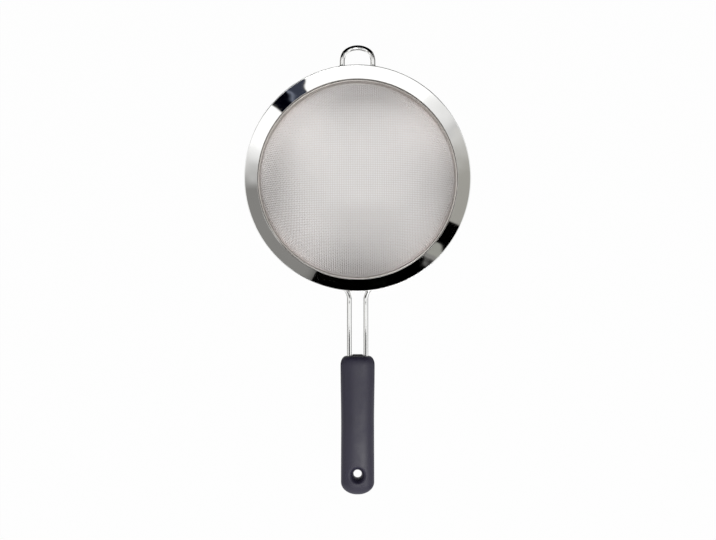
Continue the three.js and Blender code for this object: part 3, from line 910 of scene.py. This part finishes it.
class GripForm:
    """Outer form of the grip: half a width and half a thickness at each place along it. Places are
    counted backwards from the front face."""

    def __init__(self, grip, level):
        self.grip = grip
        self.level = level
        self.tail = grip.whole_length - grip.tail_length

    def half_sizes(self, back):
        """Half the width and half the thickness at a place."""
        grip = self.grip
        if back < grip.shoulder_length:
            swell = math.sqrt(1 - (1 - back / grip.shoulder_length) ** 2)
            width = grip.front_width + (grip.shoulder_width - grip.front_width) * swell
            thickness = grip.front_thickness + (grip.shoulder_thickness - grip.front_thickness) * swell
        elif back < self.tail:
            along = (back - grip.shoulder_length) / (self.tail - grip.shoulder_length)
            width = eased(along, grip.shoulder_width, grip.waist_width, grip.tail_width)
            thickness = eased(
                along, grip.shoulder_thickness, grip.waist_thickness, grip.tail_thickness
            )
        else:
            shrink = math.sqrt(max(0, 1 - ((back - self.tail) / grip.tail_length) ** 2))
            width, thickness = grip.tail_width * shrink, grip.tail_thickness * shrink
        return width / 2, thickness / 2

    def section(self, back):
        """Upper half of the section at a place, from the right side over to the left."""
        half_width, half_thickness = self.half_sizes(back)
        power = 2 / self.grip.fullness
        places = []
        for k in range(HALF_POINTS):
            turn = math.pi * k / (HALF_POINTS - 1)
            x = math.copysign(abs(math.cos(turn)) ** power, math.cos(turn)) * half_width
            rise = half_thickness * abs(math.sin(turn)) ** power if 0 < k < HALF_POINTS - 1 else 0
            places.append(Vector((x, self.grip.front - back, self.level + rise)))
        return places

    def surface(self, x, y):
        """Place on the upper face straight above or below (x, y)."""
        half_width, half_thickness = self.half_sizes(self.grip.front - y)
        power = self.grip.fullness
        rise = half_thickness * max(0, 1 - abs(x / half_width) ** power) ** (1 / power)
        return Vector((x, y, self.level + rise))

    def stations(self):
        """Places of the sections: close together where the form turns."""
        grip = self.grip
        rising = [1 - math.cos(QUARTER * k / SHOULDER_SECTIONS) for k in range(SHOULDER_SECTIONS)]
        falling = [math.sin(QUARTER * k / TAIL_SECTIONS) for k in range(TAIL_SECTIONS)]
        shoulder = [grip.shoulder_length * part for part in rising]
        body = np.linspace(grip.shoulder_length, self.tail, BODY_SECTIONS)[:-1]
        tail = [self.tail + grip.tail_length * part for part in falling]
        return [*shoulder, *body, *tail]


def eased(along, first, middle, last):
    """Goes smoothly from first to middle and on to last."""
    start, end, part = (first, middle, 2 * along) if along < 0.5 else (middle, last, 2 * along - 1)
    return start + (end - start) * part**2 * (3 - 2 * part)


def slot_outline(half_spacing, radius, y, level):
    """Upper half of a slot with round ends, from the right side over to the left."""
    half = HALF_POINTS // 2
    places = []
    for side, first in ((1, 0.0), (-1, QUARTER)):
        for k in range(half):
            turn = first + QUARTER * k / (half - 1)
            x = side * half_spacing + radius * math.cos(turn)
            places.append(Vector((x, y, level + radius * math.sin(turn))))
    return places


def extend(bm, chain, places, closed=False):
    """Extrudes a chain of vertices onto the given places and returns the new chain."""
    ahead = chain[1:] + chain[:1] if closed else chain[1:]
    made = set(extruded(bm, [bm.edges.get(pair) for pair in zip(chain, ahead)]))
    new = [next(e.other_vert(v) for e in v.link_edges if e.other_vert(v) in made) for v in chain]
    for vert, place in zip(new, places):
        vert.co = place
    return new


def in_order(edges):
    """Vertices of a closed loop of edges, in order."""
    left = set(edges)
    vert = edges[0].verts[0]
    order = []
    while left:
        edge = next(e for e in vert.link_edges if e in left)
        left.remove(edge)
        order.append(vert)
        vert = edge.other_vert(vert)
    return order


def cover_mesh(grip, wires, fit):
    """Skin of the grip: the slot for the rods, shoulder, body, tail and hang hole. Its upper half is
    made first and mirrored."""
    level = wires.level
    form = GripForm(grip, level)
    half_spacing = wires.rod_spacing / 2
    slot = wires.rod / 2 + fit
    outlines = [slot_outline(half_spacing, slot, grip.front - grip.slot_depth, level)]
    for k in range(SLOT_STEPS + 1):
        turn = QUARTER * k / SLOT_STEPS
        y = grip.front - grip.slot_round * (1 - math.sin(turn))
        radius = slot + grip.slot_round * (1 - math.cos(turn))
        outlines.append(slot_outline(half_spacing, radius, y, level))
    outlines += [form.section(back) for back in form.stations()]
    bm = bmesh.new()
    chain = [bm.verts.new(place) for place in outlines[0]]
    for here, ahead in zip(chain, chain[1:]):
        bm.edges.new((here, ahead))
    for places in outlines[1:]:
        chain = extend(bm, chain, places)
    tip = Vector((0, grip.front - grip.whole_length, level))
    bmesh.ops.pointmerge(bm, verts=extend(bm, chain, [tip] * HALF_POINTS), merge_co=tip)
    cut_hole(bm, form)
    bmesh.ops.mirror(
        bm, geom=bm.verts[:] + bm.edges[:] + bm.faces[:],
        matrix=Matrix.Translation((0, 0, -level)), merge_dist=MERGE, axis="Z",
    )
    tidy(bm)
    return mesh_from(bm)


def cut_hole(bm, form):
    """Opens the upper face at the hang hole and leads it round the mouth down to the throat. The
    border is counted from its right rear corner, so that each run gives the same mesh."""
    grip = form.grip
    centre_y = (HOLE_LOW.y + HOLE_HIGH.y) / 2
    border_reach = grip.mouth / 2 + BORDER_ROUNDS * grip.mouth_round

    def reach(vert):
        return math.hypot(vert.co.x, vert.co.y - centre_y)

    opened = {f for f in bm.faces if any(reach(v) < border_reach for v in f.verts)}
    border = [e for f in opened for e in f.edges if not opened.issuperset(e.link_faces)]
    bmesh.ops.delete(bm, geom=list(opened), context="FACES")
    chain = in_order(border)
    start = max(range(len(chain)), key=lambda k: chain[k].co.x - chain[k].co.y)
    chain = chain[start:] + chain[:start]
    begin, ahead = (
        math.atan2(vert.co.y - centre_y, vert.co.x) for vert in (chain[0], chain[POINTS_AHEAD])
    )
    way = math.copysign(FULL_TURN / len(chain), math.sin(ahead - begin))
    columns = [hole_column(form, centre_y, border_reach, begin + way * k) for k in range(len(chain))]
    for places in zip(*columns):
        chain = extend(bm, chain, places, closed=True)


def hole_column(form, centre_y, border_reach, turn):
    """Places from the upper face round the hang hole's mouth down to its throat, at one angle."""
    grip = form.grip
    ray = Vector((math.cos(turn), math.sin(turn), 0))

    def on_face(distance):
        return form.surface(distance * ray.x, centre_y + distance * ray.y)

    def on_wall(rise):
        flare = (grip.mouth - grip.throat) * (rise / (grip.tail_thickness / 2)) ** 2
        return Vector((0, centre_y, form.level + rise)) + ray * (grip.throat + flare) / 2

    corner = on_face(grip.mouth / 2)
    first = on_face(grip.mouth / 2 + grip.mouth_round)
    lowest_round = corner.z - form.level - grip.mouth_round
    last = on_wall(lowest_round)
    places = [on_face(border_reach)]
    for k in range(MOUTH_STEPS + 1):
        part = k / MOUTH_STEPS
        places.append(first * (1 - part) ** 2 + corner * 2 * part * (1 - part) + last * part**2)
    down = [1 - k / WALL_STEPS for k in range(1, WALL_STEPS + 1)]
    return places + [on_wall(lowest_round * part) for part in down]


class SIEVE_OT_grip_cover(bpy.types.Operator):
    """Make the soft cover of the grip with its hang hole"""

    bl_idname = "sieve.grip_cover"
    bl_label = "Grip cover"

    def execute(self, context):
        settings = context.scene.sieve
        mesh = cover_mesh(settings.grip, settings.wires, settings.rim.fit)
        finish = cover_finish(settings.finish.cover)
        piece = add_piece("cover", mesh, finish, ["grip_cover"])
        skin = piece.modifiers.new("skin", "SOLIDIFY")
        skin.thickness = settings.grip.wall
        skin.offset = -1
        return {"FINISHED"}


class SIEVE_OT_grip_core(bpy.types.Operator):
    """Give the core, whose nose shows between the rods, its finish"""

    bl_idname = "sieve.grip_core"
    bl_label = "Grip core"

    def execute(self, context):
        core = frame["nodes"]["grip_core"]
        finish = core_finish(context.scene.sieve.finish.core)
        core.data.materials.clear()
        core.data.materials.append(finish)
        return {"FINISHED"}


# Stage


def background_rays(tree):
    """1 for rays that show the background: from the camera, through glass and from polish."""
    path = tree.nodes.new("ShaderNodeLightPath").outputs
    seen = path["Is Camera Ray"]
    for name in ("Is Transmission Ray", "Is Glossy Ray"):
        seen = combine(tree, "MAXIMUM", seen, path[name])
    return seen


# Middle and radius of the painted shade under the bowl. The other values are shares of that radius:
# where it fades out, and where its end towards the handle is full and starts along Y and fades out
# across X
SHADE_MIDDLE = BOWL_AXIS + Vector((0.005, 0.004, 0))
SHADE_RADIUS = 0.109
SHADE_INNER = 0.88
SHADE_OUTER = 1.06
NEAR_FULL = -0.30
NEAR_START = -0.15
NEAR_INNER = 0.1
NEAR_OUTER = 0.5
# Times the product of the squares of X and Y, this is 1 on the edge halfway between two sides
HALFWAY = 4


def shade_under_bowl(tree, studio):
    """Brightness of the floor: white, with a painted shade under the bowl that is darkest towards its
    four sides and towards the handle."""
    _, split, square_x, square_y = across_circle(
        tree, object_places(tree), SHADE_MIDDLE, SHADE_RADIUS
    )
    inside = ranged(
        tree, combine(tree, "ADD", square_x, square_y), 1, 0, SHADE_INNER**2, SHADE_OUTER**2
    )
    slant = combine(tree, "SUBTRACT", square_x, square_y)
    sides = combine(tree, "MULTIPLY", combine(tree, "MULTIPLY", slant, slant), studio.side_shade)
    near_y = ranged(tree, split["Y"], studio.near_shade, 0, NEAR_FULL, NEAR_START)
    near_x = ranged(tree, square_x, 1, 0, NEAR_INNER**2, NEAR_OUTER**2)
    near = combine(tree, "MULTIPLY", near_y, near_x)
    between = combine(tree, "MULTIPLY", square_x, square_y)
    corners = combine(tree, "MULTIPLY", between, HALFWAY * studio.corner_shade)
    uneven = combine(tree, "ADD", combine(tree, "ADD", sides, near), corners)
    depth = combine(tree, "ADD", uneven, studio.glow - studio.shaded)
    shade = combine(tree, "MULTIPLY", inside, depth)
    return combine(tree, "MAXIMUM", combine(tree, "SUBTRACT", studio.glow, shade), 0.0)


def add_floor(studio):
    """Wide white floor that keeps a faint shadow, with a painted shade under the bowl."""
    material, tree, surface = bare_material("white_floor")
    paper = add_node(tree, "ShaderNodeBsdfDiffuse", {"Color": (*[studio.paper] * 3, 1)})
    glow = add_node(tree, "ShaderNodeEmission", {"Color": (1, 1, 1, 1), "Strength": 1.0})
    part = combine(tree, "MULTIPLY", background_rays(tree), shade_under_bowl(tree, studio))
    mix = add_node(
        tree, "ShaderNodeMixShader", {0: part, 1: paper.outputs[0], 2: glow.outputs[0]}
    )
    tree.links.new(mix.outputs[0], surface)
    bm = bmesh.new()
    bmesh.ops.create_grid(bm, x_segments=1, y_segments=1, size=studio.floor)
    add_to_stage("floor", mesh_from(bm), material, seen=True)


# Boards round the bowl, each in front of those before it: name, direction of its middle, half its
# width and half its soft edge in degrees, anticlockwise from +X, and colour
BOARDS = (
    ("left wall", 174.0, 25.0, 1.0, (0.41, 0.40, 0.37)),
    ("spill of the front softbox", 232.0, 27.0, 27.0, (1.3, 1.3, 1.3)),
    ("front softbox", 264.0, 38.6, 1.0, (1.3, 1.3, 1.3)),
    ("spill of the right softbox", 345.0, 13.5, 13.5, (1.25, 1.25, 1.25)),
    ("right softbox", 335.6, 12.2, 1.0, (1.3, 1.3, 1.3)),
    ("slit between the softboxes", 313.2, 10.3, 0.6, (0.0, 0.0, 0.002)),
    ("blue wall in the slit", 308.0, 5.0, 0.8, (0.045, 0.051, 0.075)),
    ("streak in the slit", 312.2, 0.7, 0.7, (0.20, 0.22, 0.28)),
    ("soft edge of the back flag", 90.0, 20.0, 8.0, (0.0, 0.0, 0.0)),
    ("back flag", 101.8, 23.8, 0.8, (0.0, 0.0, 0.0)),
    ("card in the gap", 133.2, 4.0, 1.0, (0.37, 0.37, 0.34)),
    ("back left flag", 142.8, 7.7, 0.6, (0.0, 0.0, 0.0)),
)
WALL_GREY = (0.27, 0.265, 0.255, 1)
BOARD_STEPS = 96
# Radius and lowest height of the dark room, in shares of those of the boards
ROOM_RADIUS = 1.02
ROOM_BOTTOM = 0.97


def add_wall(studio):
    """Ring of boards round the sieve, and the dark room above the back ones."""
    boards = board_ring(studio.wall_radius, 0, studio.wall_height, 0, FULL_TURN)
    add_to_stage("studio_boards", boards, board_finish(), seen=False)
    room = board_ring(
        ROOM_RADIUS * studio.wall_radius, ROOM_BOTTOM * studio.wall_height, studio.room_height,
        QUARTER - studio.room_half, QUARTER + studio.room_half,
    )
    add_to_stage("dark_room", room, black_cloth(), seen=False)


# Dark cards that only the polish shows: name, lowest and highest corner
CARDS = (
    ("camera_rig", (-0.60, -0.30, 1.05), (0.45, -0.13, 1.06)),
    ("card_over_bends", (-0.13, -0.0312, 0.200), (0.13, -0.0040, 0.202)),
    ("strip_over_bends", (-0.06, -0.0382, 0.200), (0.06, -0.0366, 0.202)),
    ("card_over_loop", (-0.12, 0.186, 0.300), (0.12, 0.252, 0.302)),
    ("card_at_loop", (-0.062, 0.272, 0.0), (0.062, 0.274, 0.300)),
    ("card_behind_loop", (-1.2, 0.34, 0.001), (1.2, 2.1, 0.002)),
    ("card_left_of_loop", (-0.40, 0.205, 0.001), (-0.06, 0.33, 0.002)),
    ("card_right_of_loop", (0.06, 0.205, 0.001), (0.40, 0.33, 0.002)),
    ("card_left_of_rods", (-0.40, -0.115, 0.001), (-0.07, -0.02, 0.002)),
    ("card_right_of_rods", (0.07, -0.115, 0.001), (0.40, -0.02, 0.002)),
)


def add_cards():
    """Dark cards over and beside the bright wires, which give these dark lines and edges."""
    black = black_cloth()
    for name, low, high in CARDS:
        low, high = Vector(low), Vector(high)
        bm = bmesh.new()
        bmesh.ops.create_cube(bm, size=1)
        bmesh.ops.scale(bm, vec=high - low, verts=bm.verts[:])
        bmesh.ops.translate(bm, vec=(low + high) / 2, verts=bm.verts[:])
        card = add_to_stage(name, mesh_from(bm), black, seen=False)
        card.visible_shadow = False
        card.visible_diffuse = False


def black_cloth():
    """Dull black of what the polish mirrors as dark."""
    material, _, shader, _ = new_finish("black_cloth", metallic=0.0, roughness=1.0)
    shader.inputs["Base Color"].default_value = (0, 0, 0, 1)
    shader.inputs["Specular IOR Level"].default_value = 0
    return material


def board_ring(radius, low, high, first, last):
    """Mesh of an upright band round the bowl's axis."""
    bm = bmesh.new()
    ray = radius * Vector((math.cos(first), math.sin(first), 0))
    ends = [bm.verts.new(BOWL_AXIS + ray + height * UP) for height in (low, high)]
    edge = bm.edges.new(ends)
    bmesh.ops.spin(
        bm, geom=[*ends, edge], cent=BOWL_AXIS, axis=UP, angle=last - first, steps=BOARD_STEPS,
        use_merge=last - first == FULL_TURN,
    )
    tidy(bm)
    return mesh_from(bm)


def board_finish():
    """Glow of the boards by direction from the bowl's axis."""
    material, tree, surface = bare_material("boards")
    places = mapped(tree, object_places(tree), BOWL_AXIS)
    split = add_node(tree, "ShaderNodeSeparateXYZ", {0: places}).outputs
    shade = WALL_GREY
    for name, *degrees, tint in BOARDS:
        cover = board_cover(tree, split, *map(math.radians, degrees))
        shade = mixed(tree, cover, shade, (*tint, 1), label=name)
    glow = add_node(tree, "ShaderNodeEmission", {"Color": shade, "Strength": 1.0})
    tree.links.new(glow.outputs[0], surface)
    return material


def board_cover(tree, split, middle, half, soft):
    """1 inside a board's width, 0 outside."""
    cosine, sine = math.cos(middle), math.sin(middle)
    along, across = (
        combine(
            tree, "ADD", combine(tree, "MULTIPLY", split["X"], by_x),
            combine(tree, "MULTIPLY", split["Y"], by_y),
        )
        for by_x, by_y in ((cosine, sine), (-sine, cosine))
    )
    away = combine(tree, "ABSOLUTE", combine(tree, "ARCTAN2", across, along), 0.0)
    return ranged(tree, away, 0, 1, half + soft, half - soft)


def add_world(studio):
    """White sky, dimmer for soft light than for what is seen or mirrored."""
    world = bpy.data.worlds.new("white_studio")
    world.use_nodes = True
    tree = world.node_tree
    strength = ranged(tree, background_rays(tree), studio.world, 1, start=0, end=1)
    sky = tree.nodes["Background"]
    sky.inputs["Color"].default_value = (1, 1, 1, 1)
    tree.links.new(strength, sky.inputs["Strength"])
    bpy.context.scene.world = world


# Places of the lamp, of what it is aimed at and of the camera, and the width of the camera's
# sensor in millimetres
LAMP_PLACE = Vector((0.38, -0.66, 1.7))
LAMP_TARGET = Vector((0, -0.1, 0.09))
CAMERA_X = 0.0004
CAMERA_Y = -0.0007
SENSOR_WIDTH = 36


def add_lamp(studio):
    """Large soft lamp that the camera doesn't see."""
    lamp = bpy.data.lights.new("key_lamp", "AREA")
    lamp.shape = "DISK"
    lamp.size = studio.key_size
    lamp.energy = studio.key
    holder = put_in_scene("key_lamp", lamp)
    holder.location = LAMP_PLACE
    holder.rotation_euler = (LAMP_TARGET - LAMP_PLACE).to_track_quat("-Z", "Y").to_euler()
    holder.visible_camera = False


def add_camera(studio, lip_top):
    """Camera straight above the middle of the sieve, with the rest loop at the top of the picture."""
    lens = bpy.data.cameras.new("camera")
    lens.sensor_width = SENSOR_WIDTH
    lens.lens = lens.sensor_width * studio.camera_height / studio.view_width
    camera = put_in_scene("camera", lens)
    camera.location = (CAMERA_X, CAMERA_Y, lip_top + studio.camera_height)
    bpy.context.scene.camera = camera


class SIEVE_OT_stage(bpy.types.Operator):
    """Set up the floor, the studio boards, the lamp and the camera"""

    bl_idname = "sieve.stage"
    bl_label = "Stage"

    def execute(self, context):
        settings = context.scene.sieve
        studio = settings.studio
        context.scene.view_settings.view_transform = "Standard"
        add_floor(studio)
        add_wall(studio)
        add_cards()
        add_world(studio)
        add_lamp(studio)
        add_camera(studio, settings.rim.top)
        return {"FINISHED"}


class SIEVE_PT_panel(bpy.types.Panel):
    """Sidebar panel that lists the pieces"""

    bl_idname = "SIEVE_PT_panel"
    bl_label = "Kitchen sieve"
    bl_space_type = "VIEW_3D"
    bl_region_type = "UI"
    bl_category = "Sieve"

    def draw(self, context):
        for operator in OPERATORS:
            self.layout.operator(operator.bl_idname)
        for group in ("rim", "cloth", "wires", "grip", "finish", "studio"):
            settings = getattr(context.scene.sieve, group)
            box = self.layout.box()
            box.label(text=group.capitalize())
            for name in settings.__annotations__:
                box.prop(settings, name)


GROUPS = (SieveRim, SieveCloth, SieveWires, SieveGrip, SieveFinish, SieveStudio, SieveSettings)
OPERATORS = (
    SIEVE_OT_stage,
    SIEVE_OT_rim,
    SIEVE_OT_clamp_ring,
    SIEVE_OT_cloth,
    SIEVE_OT_rods,
    SIEVE_OT_rest_loop,
    SIEVE_OT_grip_cover,
    SIEVE_OT_grip_core,
)
CLASSES = (*GROUPS, *OPERATORS, SIEVE_PT_panel)


def register():
    """Registers the classes and gives each scene the settings."""
    for cls in CLASSES:
        bpy.utils.register_class(cls)
    bpy.types.Scene.sieve = PointerProperty(
        type=SieveSettings, name="Sieve", description="Sizes and colours of the sieve"
    )


def unregister():
    """Takes the settings and the classes away again."""
    del bpy.types.Scene.sieve
    for cls in reversed(CLASSES):
        bpy.utils.unregister_class(cls)


def main():
    """Makes everything in order."""
    register()
    bpy.ops.sieve.stage()
    bpy.ops.sieve.rim()
    bpy.ops.sieve.clamp_ring()
    bpy.ops.sieve.cloth()
    bpy.ops.sieve.rods()
    bpy.ops.sieve.rest_loop()
    bpy.ops.sieve.grip_cover()
    bpy.ops.sieve.grip_core()


if __name__ == "__main__":
    main()
